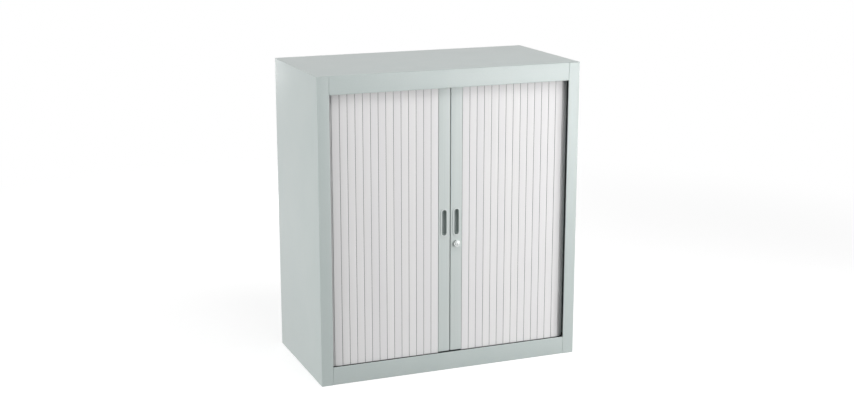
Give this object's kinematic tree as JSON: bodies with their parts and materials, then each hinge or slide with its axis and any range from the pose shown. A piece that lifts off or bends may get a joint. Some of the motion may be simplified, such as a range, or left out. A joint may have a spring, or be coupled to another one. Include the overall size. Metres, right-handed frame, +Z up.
{
  "type": "tambour door cabinet",
  "caption": "Low steel office cupboard whose slatted doors slide apart sideways round the corners, with finger pulls, a cylinder lock, a plinth and shelves.",
  "frame": {"origin": "middle of the footprint, on the floor", "axes": "+Z up, the doors face -Y, +X to the right of someone facing the doors"},
  "size_m": [0.914, 0.47, 1.016],
  "materials": {
    "powder_coated_steel": "satin powder coat",
    "slat_plastic": "satin",
    "track_plastic": "matt",
    "finger_pull_plastic": "satin",
    "nickel_plate": "bright plated",
    "zinc_plated_steel": "zinc plated"
  },
  "bodies": {
    "carcass": {"left_side_panel": "powder_coated_steel", "right_side_panel": "powder_coated_steel", "top_panel": "powder_coated_steel", "base_panel": "powder_coated_steel", "back_panel": "powder_coated_steel", "left_liner": "powder_coated_steel", "right_liner": "powder_coated_steel", "lower_shelf": "powder_coated_steel", "upper_shelf": "powder_coated_steel", "bottom_track": "track_plastic", "top_track": "track_plastic", "left_track_stop": "track_plastic", "right_track_stop": "track_plastic"},
    "left_shutter": {"left_lead_bar": "powder_coated_steel", "left_finger_pull": "finger_pull_plastic", "left_lower_glide": "track_plastic", "left_upper_glide": "track_plastic", "strike_plate": "zinc_plated_steel", "left_slat_01": "slat_plastic", "left_slat_02": "slat_plastic", "left_slat_03": "slat_plastic", "left_slat_04": "slat_plastic", "left_slat_05": "slat_plastic", "left_slat_06": "slat_plastic", "left_slat_07": "slat_plastic", "left_slat_08": "slat_plastic", "left_slat_09": "slat_plastic", "left_slat_10": "slat_plastic", "left_slat_11": "slat_plastic", "left_slat_12": "slat_plastic", "left_slat_13": "slat_plastic", "left_slat_14": "slat_plastic", "left_slat_15": "slat_plastic", "left_slat_16": "slat_plastic"},
    "right_shutter": {"right_lead_bar": "powder_coated_steel", "right_finger_pull": "finger_pull_plastic", "right_lower_glide": "track_plastic", "right_upper_glide": "track_plastic", "lock_housing": "nickel_plate", "lock_nut": "zinc_plated_steel", "right_slat_01": "slat_plastic", "right_slat_02": "slat_plastic", "right_slat_03": "slat_plastic", "right_slat_04": "slat_plastic", "right_slat_05": "slat_plastic", "right_slat_06": "slat_plastic", "right_slat_07": "slat_plastic", "right_slat_08": "slat_plastic", "right_slat_09": "slat_plastic", "right_slat_10": "slat_plastic", "right_slat_11": "slat_plastic", "right_slat_12": "slat_plastic", "right_slat_13": "slat_plastic", "right_slat_14": "slat_plastic", "right_slat_15": "slat_plastic", "right_slat_16": "slat_plastic"},
    "lock_rotor": {"lock_plug": "nickel_plate", "lock_hook": "zinc_plated_steel"},
    "left_tail": {"left_tail_slat": "slat_plastic"},
    "right_tail": {"right_tail_slat": "slat_plastic"}
  },
  "joints": [
    {"name": "left_shutter_slide", "type": "slide", "parent": "carcass", "child": "left_shutter", "axis": [-1, 0, 0], "range_m": [0, 0.35], "deforming": ["left_slat_01", "left_slat_02", "left_slat_03", "left_slat_04", "left_slat_05", "left_slat_06", "left_slat_07", "left_slat_08", "left_slat_09", "left_slat_10", "left_slat_11", "left_slat_12", "left_slat_13", "left_slat_14", "left_slat_15", "left_slat_16"]},
    {"name": "right_shutter_slide", "type": "slide", "parent": "carcass", "child": "right_shutter", "axis": [1, 0, 0], "range_m": [0, 0.35], "deforming": ["right_slat_01", "right_slat_02", "right_slat_03", "right_slat_04", "right_slat_05", "right_slat_06", "right_slat_07", "right_slat_08", "right_slat_09", "right_slat_10", "right_slat_11", "right_slat_12", "right_slat_13", "right_slat_14", "right_slat_15", "right_slat_16"]},
    {"name": "lock_turn", "type": "hinge", "parent": "right_shutter", "child": "lock_rotor", "pos_m": [0.0219, -0.2176, 0.432], "axis": [0, 1, 0], "range_deg": [0, 90]},
    {"name": "left_tail_slide", "type": "slide", "parent": "carcass", "child": "left_tail", "axis": [0, 1, 0], "range_m": [0, 0.35]},
    {"name": "right_tail_slide", "type": "slide", "parent": "carcass", "child": "right_tail", "axis": [0, 1, 0], "range_m": [0, 0.35]}
  ],
  "couplings": [
    {"joint": "left_tail_slide", "follows": "left_shutter_slide", "ratio": 1},
    {"joint": "right_tail_slide", "follows": "right_shutter_slide", "ratio": 1}
  ]
}
